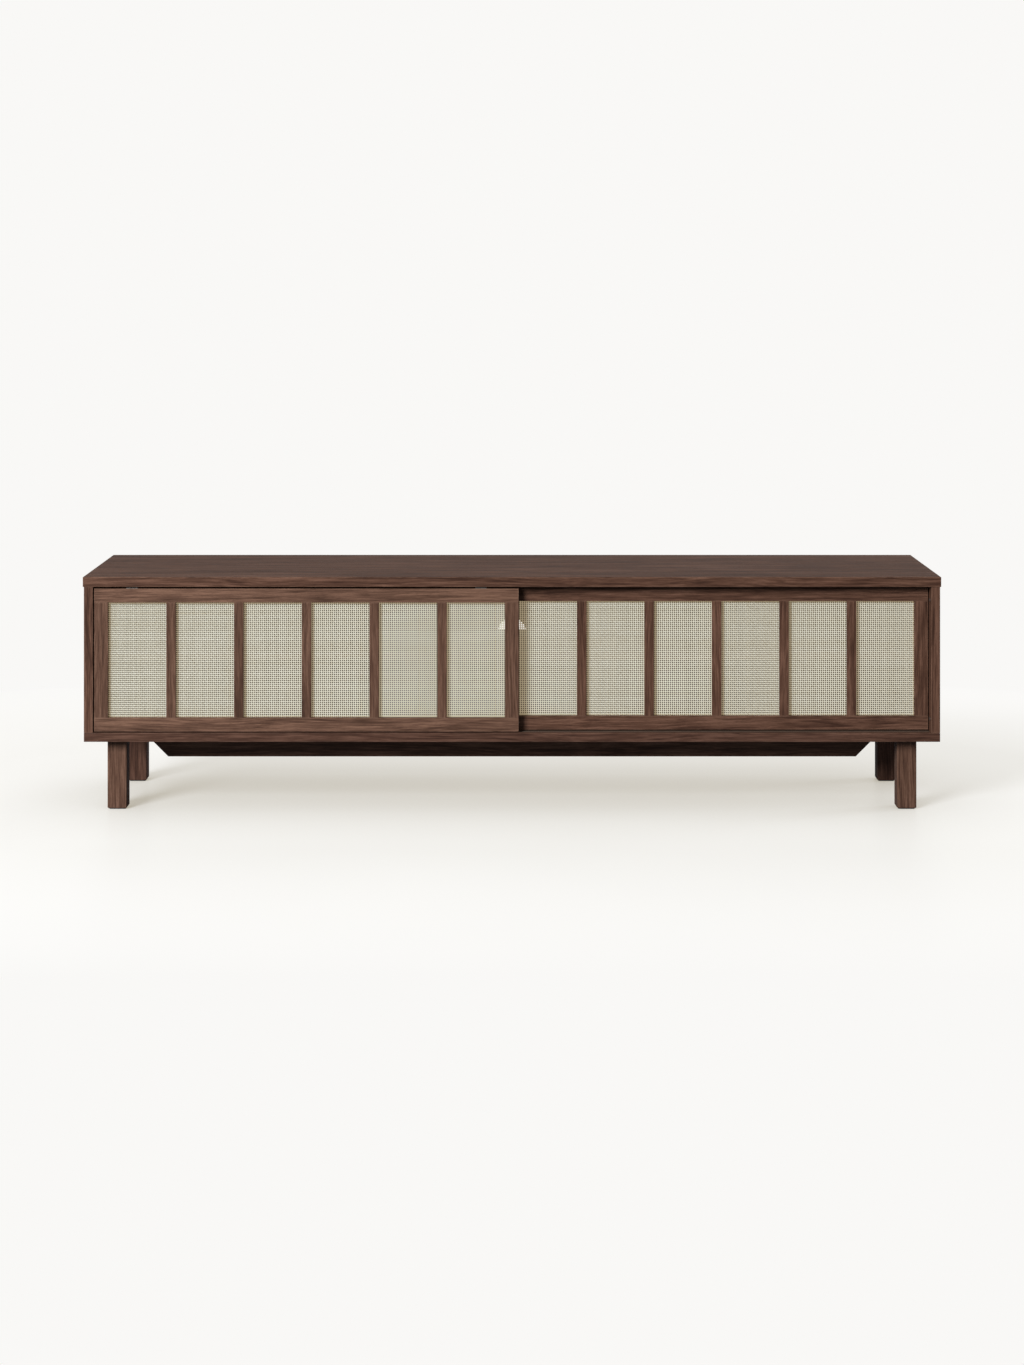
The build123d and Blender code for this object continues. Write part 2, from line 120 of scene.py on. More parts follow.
class Graph:
    """A short hand for building one material's node tree."""

    def __init__(self, name: str) -> None:
        """Start a material with an empty Principled shader.

        Args:
            name: the material's name.
        """
        self.material = bpy.data.materials.new(name)
        self.material.use_nodes = True
        self.tree = self.material.node_tree
        self.shader = self.tree.nodes["Principled BSDF"]

    def add(self, kind: str, **settings: object) -> bpy.types.Node:
        """Add a node and set its own settings.

        Args:
            kind: the node's type, without the ShaderNode prefix.
            **settings: the node's attributes.

        Returns:
            The new node.
        """
        node = self.tree.nodes.new(f"ShaderNode{kind}")
        for key, value in settings.items():
            setattr(node, key, value)
        return node

    def join(self, source: bpy.types.NodeSocket, target: bpy.types.NodeSocket) -> None:
        """Link one socket to another."""
        self.tree.links.new(source, target)

    def feed(self, target: bpy.types.NodeSocket, value: object) -> None:
        """Link a socket, or set a plain value, into an input.

        Args:
            target: the input.
            value: a socket, a number or a tuple.
        """
        if isinstance(value, bpy.types.NodeSocket):
            self.join(value, target)
        else:
            target.default_value = value

    def math(self, operation: str, *values: object) -> bpy.types.NodeSocket:
        """A Math node over sockets or numbers.

        Args:
            operation: the node's operation.
            *values: its inputs.

        Returns:
            The node's output.
        """
        node = self.add("Math", operation=operation)
        for socket, value in zip(node.inputs, values):
            self.feed(socket, value)
        return node.outputs[0]

    def place(self, turn: Vec = (0, 0, 0), shift: Vec = (0, 0, 0)) -> bpy.types.NodeSocket:
        """Object coordinates in metres, turned and then shifted.

        Args:
            turn: Euler angles in radians.
            shift: metres.

        Returns:
            The vector.
        """
        coordinates = self.add("TexCoord")
        mapping = self.add("Mapping")
        mapping.inputs["Rotation"].default_value = turn
        mapping.inputs["Location"].default_value = shift
        self.join(coordinates.outputs["Object"], mapping.inputs["Vector"])
        return mapping.outputs["Vector"]

    def scaled(self, vector: bpy.types.NodeSocket, scale: Vec) -> bpy.types.NodeSocket:
        """A vector scaled per axis."""
        node = self.add("VectorMath", operation="MULTIPLY")
        self.join(vector, node.inputs[0])
        node.inputs[1].default_value = scale
        return node.outputs[0]

    def noise(
        self,
        vector: bpy.types.NodeSocket,
        scale: Vec,
        detail: float = 2.0,
        roughness: float = 0.5,
        distortion: float = 0.0,
    ) -> bpy.types.NodeSocket:
        """Noise stretched per axis.

        Args:
            vector: where it is read, in metres.
            scale: features per metre along each axis.
            detail: octaves.
            roughness: how much the finer octaves count.
            distortion: how much it swirls.

        Returns:
            The value, about 0.5.
        """
        node = self.add("TexNoise")
        self.join(self.scaled(vector, scale), node.inputs["Vector"])
        node.inputs["Scale"].default_value = 1.0
        node.inputs["Detail"].default_value = detail
        node.inputs["Roughness"].default_value = roughness
        node.inputs["Distortion"].default_value = distortion
        return node.outputs["Fac"]

    def spread(
        self, value: bpy.types.NodeSocket, low: float, high: float, to: Span = (0.0, 1.0)
    ) -> bpy.types.NodeSocket:
        """A value mapped from one range to another and kept inside it.

        Args:
            value: what is mapped.
            low: the value that gives to[0].
            high: the value that gives to[1].
            to: the range of the result.

        Returns:
            The mapped value.
        """
        node = self.add("MapRange", clamp=True)
        for socket, item in zip(node.inputs, (value, low, high, *to)):
            self.feed(socket, item)
        return node.outputs[0]

    def ramp(
        self, value: bpy.types.NodeSocket, stops: list[tuple[float, Rgb]]
    ) -> bpy.types.NodeSocket:
        """A colour ramp.

        Args:
            value: from 0 to 1.
            stops: places with their colours.

        Returns:
            The colour.
        """
        node = self.add("ValToRGB")
        elements = node.color_ramp.elements
        while len(elements) < len(stops):
            elements.new(0.5)
        for element, (place, colour) in zip(elements, stops):
            element.position = place
            element.color = (*colour, 1.0)
        self.join(value, node.inputs["Fac"])
        return node.outputs["Color"]

    def mix(self, share: object, first: object, second: object) -> bpy.types.NodeSocket:
        """Two colours mixed.

        Args:
            share: how much of the second, a socket or a number.
            first: a colour or socket.
            second: a colour or socket.

        Returns:
            The colour.
        """
        node = self.add("Mix", data_type="RGBA")
        for key, value in (("Factor_Float", share), ("A_Color", first), ("B_Color", second)):
            socket = next(s for s in node.inputs if s.identifier == key)
            if isinstance(value, tuple):
                value = (*value, 1.0)
            self.feed(socket, value)
        return next(s for s in node.outputs if s.identifier == "Result_Color")

    def bump(self, height: bpy.types.NodeSocket, strength: float, distance: float) -> None:
        """Raise the surface by a height, in metres of distance.

        Args:
            height: from 0 to 1.
            strength: the share of it that shows.
            distance: the height of 1.
        """
        node = self.add("Bump")
        node.inputs["Strength"].default_value = strength
        node.inputs["Distance"].default_value = distance
        self.join(height, node.inputs["Height"])
        self.join(node.outputs["Normal"], self.shader.inputs["Normal"])

    def edge_distance(self, low: Vec, high: Vec) -> bpy.types.NodeSocket:
        """How far a point on a board is from the nearest of its long or short edges.

        Args:
            low: the board's lowest corner.
            high: the board's highest corner.

        Returns:
            The distance in metres.
        """
        centre = tuple((a + b) / 2 for a, b in zip(low, high))
        half = tuple((b - a) / 2 for a, b in zip(low, high))
        from_centre = self.add("VectorMath", operation="SUBTRACT")
        self.join(self.place(), from_centre.inputs[0])
        from_centre.inputs[1].default_value = centre
        size = self.add("VectorMath", operation="ABSOLUTE")
        self.join(from_centre.outputs[0], size.inputs[0])
        inwards = self.add("VectorMath", operation="SUBTRACT")
        inwards.inputs[0].default_value = half
        self.join(size.outputs[0], inwards.inputs[1])
        parts = self.add("SeparateXYZ")
        self.join(inwards.outputs[0], parts.inputs[0])
        x, y, z = parts.outputs
        least = self.math("MINIMUM", self.math("MINIMUM", x, y), z)
        most = self.math("MAXIMUM", self.math("MAXIMUM", x, y), z)
        total = self.math("ADD", self.math("ADD", x, y), z)
        return self.math("SUBTRACT", self.math("SUBTRACT", total, least), most)


# ---------------------------------------------------------------- finishes


@dataclass(frozen=True)
class StainedOak:
    """Open-pored oak under a dark satin stain."""

    name: str
    deep: Rgb
    body: Rgb
    pale: Rgb
    # the edges' paler colour: partly real wear, partly a painted highlight
    worn_and_highlit: Rgb
    roughness: float = 0.55
    specular: float = 0.04
    lacquer: float = 0.07
    lacquer_roughness: float = 0.4
    # strength and width of the paler edges: partly wear, partly painted highlight along the eased
    # edges
    wear_and_highlight: float = 0.35
    worn_and_highlit_band: Span = (0.2 * MM, 2.6 * MM)
    sway: float = 32 * MM
    pore_tone: float = 0.55
    relief: float = 0.4 * MM

    def board(self, node: str, grain: Grain, low: Vec, high: Vec, seed: int) -> bpy.types.Material:
        """The finish on one board.

        Args:
            node: the board's name.
            grain: the way its fibres run.
            low: its lowest corner.
            high: its highest corner.
            seed: picks the stretch of wood that it was cut from.

        Returns:
            The material.
        """
        graph = Graph(f"{self.name}_{node}")
        chance = np.random.default_rng(seed)
        shift = tuple(float(v) for v in chance.uniform(-20, 20, 3))
        wood = graph.place(grain.value, shift)

        wander = graph.noise(wood, (2.6, 8.0, 8.0), detail=1.0)
        swayed = self._swayed(graph, wood, wander)
        figure = graph.noise(swayed, (2.8, 66.0, 66.0), detail=3.0, roughness=0.62, distortion=0.4)
        streaks = graph.noise(swayed, (13.0, 290.0, 290.0), detail=4.0, roughness=0.62)
        fibres = graph.noise(swayed, (38.0, 1050.0, 1050.0), detail=3.0, roughness=0.6)
        pores = graph.noise(swayed, (95.0, 2300.0, 2300.0), detail=1.0)
        patches = graph.noise(wood, (3.0, 5.0, 5.0), detail=2.0)

        tone = graph.math("MULTIPLY", figure, 0.32)
        tone = graph.math("ADD", tone, graph.math("MULTIPLY", streaks, 0.50))
        tone = graph.math("ADD", tone, graph.math("MULTIPLY", fibres, 0.10))
        tone = graph.math("ADD", tone, graph.math("MULTIPLY", patches, 0.08))
        tone = graph.spread(tone, 0.405, 0.595)
        colour = graph.ramp(tone, [(0.0, self.deep), (0.5, self.body), (1.0, self.pale)])
        open_pores = graph.spread(pores, 0.60, 0.70)
        darkening = graph.math("MULTIPLY", open_pores, self.pore_tone)
        colour = graph.mix(darkening, colour, self.deep)

        # Paler along the edges: partly wear, partly a painted highlight where the eased edges catch
        # the light.
        edge = graph.edge_distance(low, high)
        rubbed_and_highlit = graph.spread(edge, *self.worn_and_highlit_band, (1.0, 0.0))
        edge_breakup = graph.spread(graph.noise(wood, (60.0, 60.0, 60.0), detail=3.0), 0.35, 0.65)
        rubbed_and_highlit = graph.math("MULTIPLY", rubbed_and_highlit, edge_breakup)
        rubbed_and_highlit = graph.math("MULTIPLY", rubbed_and_highlit, self.wear_and_highlight)
        colour = graph.mix(rubbed_and_highlit, colour, self.worn_and_highlit)
        graph.join(colour, graph.shader.inputs["Base Color"])

        gloss = graph.spread(streaks, 0.3, 0.7, (self.roughness - 0.05, self.roughness + 0.07))
        gloss = graph.math("ADD", gloss, graph.math("MULTIPLY", open_pores, 0.12))
        graph.join(gloss, graph.shader.inputs["Roughness"])
        graph.shader.inputs["Specular IOR Level"].default_value = self.specular
        graph.shader.inputs["Coat Weight"].default_value = self.lacquer
        graph.shader.inputs["Coat Roughness"].default_value = self.lacquer_roughness
        height = graph.math("MULTIPLY", fibres, 0.5)
        height = graph.math("SUBTRACT", height, graph.math("MULTIPLY", open_pores, 0.6))
        graph.bump(height, 0.35, self.relief)
        return graph.material

    def _swayed(
        self, graph: Graph, wood: bpy.types.NodeSocket, wander: bpy.types.NodeSocket
    ) -> bpy.types.NodeSocket:
        """The wood's coordinates with the fibres wandering off the straight.

        Args:
            graph: the material's graph.
            wood: straight coordinates.
            wander: slow noise.

        Returns:
            The swayed coordinates.
        """
        sway = graph.math("MULTIPLY", graph.math("SUBTRACT", wander, 0.5), self.sway)
        offset = graph.add("CombineXYZ")
        graph.join(sway, offset.inputs["Y"])
        graph.join(sway, offset.inputs["Z"])
        total = graph.add("VectorMath", operation="ADD")
        graph.join(wood, total.inputs[0])
        graph.join(offset.outputs[0], total.inputs[1])
        return total.outputs[0]


@dataclass(frozen=True)
class CaneSkin:
    """The pale skin of split cane, with a tone of its own on each strand, and a painted warm glow
    that lifts its shaded strands.
    """

    name: str = "cane_skin"
    shade: Rgb = (0.168, 0.149, 0.095)
    body: Rgb = (0.242, 0.267, 0.250)
    bright: Rgb = (0.296, 0.334, 0.332)
    # painted light: the cane glows though it is no lamp, so that its shadows stay warm and light
    painted_glow: Rgb = (0.300, 0.225, 0.128)

    def material(self) -> bpy.types.Material:
        """The finish, which reads each strand's tone from its mesh."""
        graph = Graph(self.name)
        place = graph.place()
        strand = graph.add("Attribute", attribute_name="strand_tone", attribute_type="GEOMETRY")
        stains = graph.noise(place, (55.0, 55.0, 55.0), detail=3.0, roughness=0.6)
        bands = graph.noise(place, (4.0, 4.0, 65.0), detail=3.0, roughness=0.6)
        fine = graph.noise(place, (900.0, 900.0, 900.0), detail=2.0)
        tone = graph.math("MULTIPLY", strand.outputs["Fac"], 0.40)
        tone = graph.math("ADD", tone, graph.math("MULTIPLY", stains, 0.20))
        tone = graph.math("ADD", tone, graph.math("MULTIPLY", bands, 0.35))
        tone = graph.math("ADD", tone, graph.math("MULTIPLY", fine, 0.10))
        tone = graph.spread(tone, 0.2, 0.8)
        colour = graph.ramp(tone, [(0.0, self.shade), (0.35, self.body), (1.0, self.bright)])
        graph.join(colour, graph.shader.inputs["Base Color"])
        graph.join(graph.spread(fine, 0.3, 0.7, (0.50, 0.68)), graph.shader.inputs["Roughness"])
        graph.shader.inputs["Specular IOR Level"].default_value = 0.2
        # painted light: the glow lifts the shaded strands as if light came through them
        graph.shader.inputs["Emission Color"].default_value = (*self.painted_glow, 1.0)
        graph.shader.inputs["Emission Strength"].default_value = 1.0
        graph.bump(fine, 0.3, 0.0002)
        return graph.material


@dataclass(frozen=True)
class Reed:
    """Round natural reed and bare beech: pale wood with fine streaks."""

    name: str
    dark: Rgb
    light: Rgb
    grain: Grain = Grain.ALONG_X

    def material(self) -> bpy.types.Material:
        """The finish."""
        graph = Graph(self.name)
        place = graph.place(self.grain.value)
        streaks = graph.noise(place, (14.0, 700.0, 700.0), detail=3.0, roughness=0.6)
        tone = graph.spread(streaks, 0.32, 0.68)
        colour = graph.ramp(tone, [(0.0, self.dark), (1.0, self.light)])
        graph.join(colour, graph.shader.inputs["Base Color"])
        graph.join(graph.spread(streaks, 0.3, 0.7, (0.5, 0.66)), graph.shader.inputs["Roughness"])
        graph.shader.inputs["Specular IOR Level"].default_value = 0.35
        graph.bump(streaks, 0.3, 0.0002)
        return graph.material


@dataclass(frozen=True)
class Plastic:
    """Moulded or extruded plastic with a fine texture and slight mottling."""

    name: str
    colour: Rgb
    spark: Rgb
    roughness: float = 0.42

    def material(self) -> bpy.types.Material:
        """The finish."""
        graph = Graph(self.name)
        place = graph.place()
        mottle = graph.noise(place, (140.0, 140.0, 140.0), detail=3.0)
        texture = graph.noise(place, (2600.0, 2600.0, 2600.0), detail=2.0)
        colour = graph.mix(graph.spread(mottle, 0.3, 0.7), self.colour, self.spark)
        graph.join(colour, graph.shader.inputs["Base Color"])
        gloss = graph.spread(texture, 0.3, 0.7, (self.roughness - 0.06, self.roughness + 0.1))
        graph.join(gloss, graph.shader.inputs["Roughness"])
        graph.bump(texture, 0.25, 0.00012)
        return graph.material


@dataclass(frozen=True)
class ZincPlate:
    """Zinc-plated steel with fine scratches and dull patches."""

    name: str = "zinc_plate"
    colour: Rgb = (0.62, 0.63, 0.65)
    dull: Rgb = (0.42, 0.43, 0.44)

    def material(self) -> bpy.types.Material:
        """The finish."""
        graph = Graph(self.name)
        place = graph.place()
        patches = graph.noise(place, (260.0, 260.0, 260.0), detail=4.0, roughness=0.6)
        scratches = graph.noise(place, (3200.0, 300.0, 3200.0), detail=2.0)
        colour = graph.mix(graph.spread(patches, 0.35, 0.65), self.colour, self.dull)
        graph.join(colour, graph.shader.inputs["Base Color"])
        graph.shader.inputs["Metallic"].default_value = 1.0
        graph.join(graph.spread(patches, 0.3, 0.7, (0.26, 0.46)), graph.shader.inputs["Roughness"])
        graph.bump(scratches, 0.2, 0.00008)
        return graph.material


@dataclass(frozen=True)
class Sweep:
    """The studio's pale floor, lifted for the eye alone so that its shadows stay light, with
    painted shade under the cabinet.
    """

    name: str = "pale_floor"
    albedo: Rgb = (0.210, 0.224, 0.250)
    lift: Rgb = (0.605, 0.580, 0.520)
    # painted shade: the darker, warmer lift where the cabinet hangs over the floor
    painted_contact_shade: Rgb = (0.400, 0.360, 0.280)
    painted_shade_reach: float = 0.3
    mottle: float = 0.95
    gloss: float = 0.03
    backdrop: Rgb = (0.947, 0.939, 0.923)
    footprint: Vec = (0.9, 0.2, 1.0)
    fade: Span = (0.35, 1.2)

    def material(self) -> bpy.types.Material:
        """The finish, which fades into the backdrop away from the cabinet."""
        graph = Graph(self.name)
        place = graph.place()
        size = graph.add("VectorMath", operation="ABSOLUTE")
        graph.join(place, size.inputs[0])
        beyond = graph.add("VectorMath", operation="SUBTRACT")
        graph.join(size.outputs[0], beyond.inputs[0])
        beyond.inputs[1].default_value = self.footprint
        outside = graph.add("VectorMath", operation="MAXIMUM")
        graph.join(beyond.outputs[0], outside.inputs[0])
        distance = graph.add("VectorMath", operation="LENGTH")
        graph.join(outside.outputs[0], distance.inputs[0])
        away = graph.spread(distance.outputs["Value"], *self.fade)
        tone = graph.spread(graph.noise(place, (1.5, 1.5, 1.5), detail=3.0), 0.3, 0.7)
        duller = tuple(self.mottle * value for value in self.albedo)
        near = graph.mix(tone, self.albedo, duller)
        black = (0.0, 0.0, 0.0)
        graph.join(graph.mix(away, near, black), graph.shader.inputs["Base Color"])
        # painted shade: occlusion darkens the lift under the cabinet and round the feet
        painted_shade_occlusion = graph.add("AmbientOcclusion", samples=6)
        painted_shade_occlusion.inputs["Distance"].default_value = self.painted_shade_reach
        lift = graph.mix(painted_shade_occlusion.outputs["AO"], self.painted_contact_shade, self.lift)
        emission = graph.mix(away, lift, self.backdrop)
        graph.join(emission, graph.shader.inputs["Emission Color"])
        path = graph.add("LightPath")
        graph.join(path.outputs["Is Camera Ray"], graph.shader.inputs["Emission Strength"])
        graph.shader.inputs["Roughness"].default_value = 0.35
        gloss = graph.spread(distance.outputs["Value"], *self.fade, (self.gloss, 0.0))
        graph.join(gloss, graph.shader.inputs["Specular IOR Level"])
        return graph.material


CASE_OAK = StainedOak(
    "case_oak",
    deep=(0.026, 0.012, 0.008),
    body=(0.054, 0.0265, 0.0175),
    pale=(0.092, 0.048, 0.033),
    worn_and_highlit=(0.150, 0.088, 0.062),
    lacquer=0.05,
)
DOOR_OAK = StainedOak(
    "door_oak",
    deep=(0.034, 0.017, 0.011),
    body=(0.070, 0.037, 0.025),
    pale=(0.114, 0.063, 0.043),
    worn_and_highlit=(0.170, 0.102, 0.073),
)
# painted shade: on the front door the stiles and muntins take this finish, darker than its rails,
# because upright grain catches less of the light
UPRIGHT_OAK = StainedOak(
    "upright_oak",
    deep=(0.030, 0.015, 0.010),
    body=(0.058, 0.030, 0.020),
    pale=(0.094, 0.052, 0.036),
    worn_and_highlit=(0.150, 0.090, 0.064),
)
# A darker copy of the oak for the bottom panel and the rear legs; on the rear legs the extra
# darkness is painted shade, for the case's shadow over them.
BASE_AND_SHADE_OAK = StainedOak(
    "base_and_shade_oak",
    deep=(0.021, 0.0095, 0.0065),
    body=(0.042, 0.020, 0.0135),
    pale=(0.072, 0.037, 0.026),
    worn_and_highlit=(0.120, 0.070, 0.050),
)
INNER_OAK = StainedOak(
    "inner_oak",
    deep=(0.024, 0.011, 0.0075),
    body=(0.048, 0.024, 0.016),
    pale=(0.080, 0.042, 0.029),
    worn_and_highlit=(0.120, 0.070, 0.050),
    roughness=0.62,
    wear_and_highlight=0.2,
)


# ---------------------------------------------------------------- meshes


@dataclass
class Mesh:
    """Points and faces gathered from several solids, and turned into one piece."""

    points: list[np.ndarray] = field(default_factory=list)
    faces: list[np.ndarray] = field(default_factory=list)
    tones: list[np.ndarray] = field(default_factory=list)
    count: int = 0

    def take(self, points: np.ndarray, faces: list[np.ndarray], tone: float = 0.5) -> None:
        """Add one solid.

        Args:
            points: its points, one row each.
            faces: groups of its faces, as rows of point numbers.
            tone: how pale it is, from 0 to 1.
        """
        self.points.append(points)
        self.faces += [group + self.count for group in faces]
        self.tones.append(np.full(len(points), tone))
        self.count += len(points)

    def piece(self, name: str, smooth: bool = True) -> bpy.types.Object:
        """The gathered solids as one Blender object.

        Args:
            name: the piece's name.
            smooth: whether its faces are shaded smooth.

        Returns:
            The object.
        """
        data = bpy.data.meshes.new(name)
        rows = [row for block in self.faces for row in block.tolist()]
        data.from_pydata(np.concatenate(self.points).tolist(), [], rows)
        data.polygons.foreach_set("use_smooth", [smooth] * len(data.polygons))
        tones = data.attributes.new("strand_tone", "FLOAT", "POINT")
        tones.data.foreach_set("value", np.concatenate(self.tones).astype(np.float32))
        data.update()
        piece = bpy.data.objects.new(name, data)
        bpy.context.collection.objects.link(piece)
        return piece


@dataclass(frozen=True)
class CrossScrew:
    """A countersunk screw with a cross recess in its head, looking up +Z from Z = 0."""

    head_radius: float
    shank_radius: float
    head_height: float
    length: float
    recess_reach: float = 0.55
    slot_half: float = 0.16
    recess_depth: float = 0.5
    rim_share: float = 0.06
    tip_share: float = 0.2
    wall_slopes: Span = (2.2, 2.5)
    rings: int = 12
    segments: int = 48

    def solid(self) -> tuple[np.ndarray, list[np.ndarray]]:
        """Points and faces of the screw.

        Returns:
            One row for each point, and groups of faces as rows of point numbers.
        """
        turn = np.arange(self.segments) / self.segments * 2 * math.pi
        circle = np.stack([np.cos(turn), np.sin(turn)], axis=1)
        rim = self.head_radius * self.rim_share
        tip = self.shank_radius * self.tip_share
        rows = [self._sunk(np.zeros((1, 2)))]
        for i in range(1, self.rings + 1):
            rows.append(self._sunk(circle * (self.head_radius - rim) * i / self.rings))
        profile = (
            (self.head_radius, -rim),
            (self.shank_radius, -self.head_height),
            (self.shank_radius, self.shank_radius - self.length),
            (tip, -self.length),
        )
        for radius, level in profile:
            rows.append(np.column_stack([circle * radius, np.full(self.segments, level)]))
        return np.concatenate(rows), self._faces(self.rings + len(profile))

    def _sunk(self, flat: np.ndarray) -> np.ndarray:
        """Places on the head with the recess pressed into them.

        Args:
            flat: rows of X and Y.

        Returns:
            Rows of X, Y and Z.
        """
        across = np.abs(flat) / self.head_radius
        reach = 1 - np.hypot(across[:, 0], across[:, 1]) / self.recess_reach
        arm = 1 - np.minimum(across[:, 0], across[:, 1]) / self.slot_half
        end_slope, side_slope = self.wall_slopes
        share = np.clip(np.minimum(reach * end_slope, arm * side_slope), 0, 1)
        return np.column_stack([flat, -share * self.recess_depth * self.head_radius])

    def _faces(self, rows: int) -> list[np.ndarray]:
        """Triangles round the middle, quads between the rows and a flat at the tip.

        Args:
            rows: how many rings of points there are.

        Returns:
            Groups of faces as rows of point numbers.
        """
        here = np.arange(self.segments)
        after = (here + 1) % self.segments
        starts = 1 + np.arange(rows) * self.segments
        fan = np.stack([np.zeros_like(here), 1 + here, 1 + after], axis=1)
        quads = [
            np.stack([a + after, a + here, b + here, b + after], axis=1)
            for a, b in zip(starts, starts[1:])
        ]
        return [fan, *quads, (starts[-1] + here)[None, ::-1]]


@dataclass
class Webbing:
    """A square mesh of split cane, woven over and under.

    Every strand is a flat lens in section. It steps from the front of one crossing strand to
    the back of the next.
    """

    low: Vec
    high: Vec
    pitch: float = 4.2 * MM
    width: float = 1.95 * MM
    thickness: float = 0.54 * MM
    lift: float = 0.27 * MM
    stray: float = 0.12 * MM
    width_spread: float = 0.05
    waves: Span = (8.0, 30.0)
    tone: Span = (0.55, 0.15)
    seed: int = 5

    def piece(self, name: str) -> bpy.types.Object:
        """The woven sheet as one object.

        Args:
            name: the piece's name.

        Returns:
            The object.
        """
        chance = np.random.default_rng(self.seed)
        across = self._places(self.low[0], self.high[0])
        up = self._places(self.low[2], self.high[2])
        mesh = Mesh()
        for i, x in enumerate(across):
            sides = np.where((i + np.arange(len(up))) % 2 == 0, -1.0, 1.0)
            self._strand(mesh, chance, x, up, sides, upright=True)
        for j, z in enumerate(up):
            sides = np.where((j + np.arange(len(across))) % 2 == 0, 1.0, -1.0)
            self._strand(mesh, chance, z, across, sides, upright=False)
        return mesh.piece(name)

    def _places(self, low: float, high: float) -> np.ndarray:
        """Middles of the strands between two edges."""
        count = round((high - low) / self.pitch)
        return low + (np.arange(count) + 0.5) * (high - low) / count

    def _strand(
        self,
        mesh: Mesh,
        chance: np.random.Generator,
        line: float,
        crossings: np.ndarray,
        sides: np.ndarray,
        upright: bool,
    ) -> None:
        """Add one strand.

        Args:
            mesh: where it goes.
            chance: the source of its small differences.
            line: where it runs, along X if upright and along Z if not.
            crossings: where the other strands cross it.
            sides: -1 where it passes in front and 1 where it passes behind.
            upright: whether it stands or lies.
        """
        middle = (self.low[1] + self.high[1]) / 2
        bend = np.sin(crossings * chance.uniform(*self.waves) + chance.uniform(0, 6.28))
        run = line + chance.normal(0, 0.3) * self.stray + bend * self.stray * 0.6
        half = self.width / 2 * (1 + chance.normal(0, self.width_spread))
        depth = middle + sides * self.lift
        zero = np.zeros_like(depth)
        section = (
            (-half, zero),
            (0.0, zero - self.thickness / 2),
            (half, zero),
            (0.0, zero + self.thickness / 2),
        )
        if not upright:
            section = tuple(reversed(section))
        rows = []
        for aside, out in section:
            first, second = (run + aside, crossings) if upright else (crossings, run + aside)
            rows.append(np.stack([first, depth + out, second], axis=1))
        points = np.stack(rows, axis=1).reshape(-1, 3)
        rings = len(crossings)
        here = np.arange(rings - 1)[:, None] * 4
        corner = np.arange(4)[None, :]
        after = (corner + 1) % 4
        quads = np.stack(
            [here + corner, here + after, here + 4 + after, here + 4 + corner], axis=2
        ).reshape(-1, 4)
        ends = np.array([[3, 2, 1, 0], [4 * rings - 4 + k for k in range(4)]])
        tone = float(np.clip(chance.normal(*self.tone), 0, 1))
        mesh.take(points, [quads, ends], tone)


# ---------------------------------------------------------------- sub-assemblies


def node_corners(node: str) -> tuple[Vec, Vec]:
    """A node's lowest and highest corners as plain tuples."""
    low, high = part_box(node)
    return tuple(float(v) for v in low), tuple(float(v) for v in high)


def dress(frame: dict, node: str, material: bpy.types.Material) -> None:
    """Give a carried-over node one finish all over.

    Args:
        frame: the loaded frame.
        node: the node's name.
        material: its finish.
    """
    slots = frame["nodes"][node].material_slots
    for slot in slots:
        slot.material = material
    log.info("%s dressed in %s", node, material.name)


def stand_in(
    piece: bpy.types.Object, material: bpy.types.Material, body: str, node: str
) -> None:
    """Finish a new piece that takes a node's place.

    Args:
        piece: the new piece.
        material: its finish.
        body: what it rides on.
        node: the node it stands for.
    """
    piece.data.materials.append(material)
    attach(piece, body)
    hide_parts(node)
    log.info("%s built for %s, %d faces", piece.name, node, len(piece.data.polygons))


@dataclass
class Boards:
    """Wooden boards that keep their shapes, with the way each one's grain runs."""

    finish: StainedOak
    grains: dict[str, Grain]
    first_seed: int

    def dress(self, frame: dict) -> None:
        """Finish every board, each from its own stretch of wood.

        Args:
            frame: the loaded frame.
        """
        for i, (node, grain) in enumerate(self.grains.items()):
            low, high = node_corners(node)
            board = self.finish.board(node, grain, low, high, self.first_seed + i)
            dress(frame, node, board)


@dataclass
class Fittings:
    """Small parts that keep their shapes and share one finish."""

    finish: Plastic | ZincPlate | Reed
    nodes: tuple[str, ...]

    def dress(self, frame: dict) -> None:
        """Finish them all.

        Args:
            frame: the loaded frame.
        """
        material = self.finish.material()
        for node in self.nodes:
            dress(frame, node, material)


@dataclass(frozen=True)
class GuideSpring:
    """The coil under one of a door's guides, which shortens as the guide is pressed down."""

    door: str
    side: str
    pressed: float = 0.6

    def build(self, frame: dict, metal: bpy.types.Material) -> None:
        """The coil, a copy of the node's mesh with its own finish.

        Args:
            frame: the loaded frame.
            metal: its finish.
        """
        node = f"{self.door}_{self.side}_guide_spring"
        coil = bpy.data.objects.new(f"{node}_coil", frame["nodes"][node].data.copy())
        coil.matrix_world = frame["nodes"][node].matrix_world
        bpy.context.collection.objects.link(coil)
        coil.data.materials.clear()
        stand_in(coil, metal, self.door, node)
        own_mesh(coil)


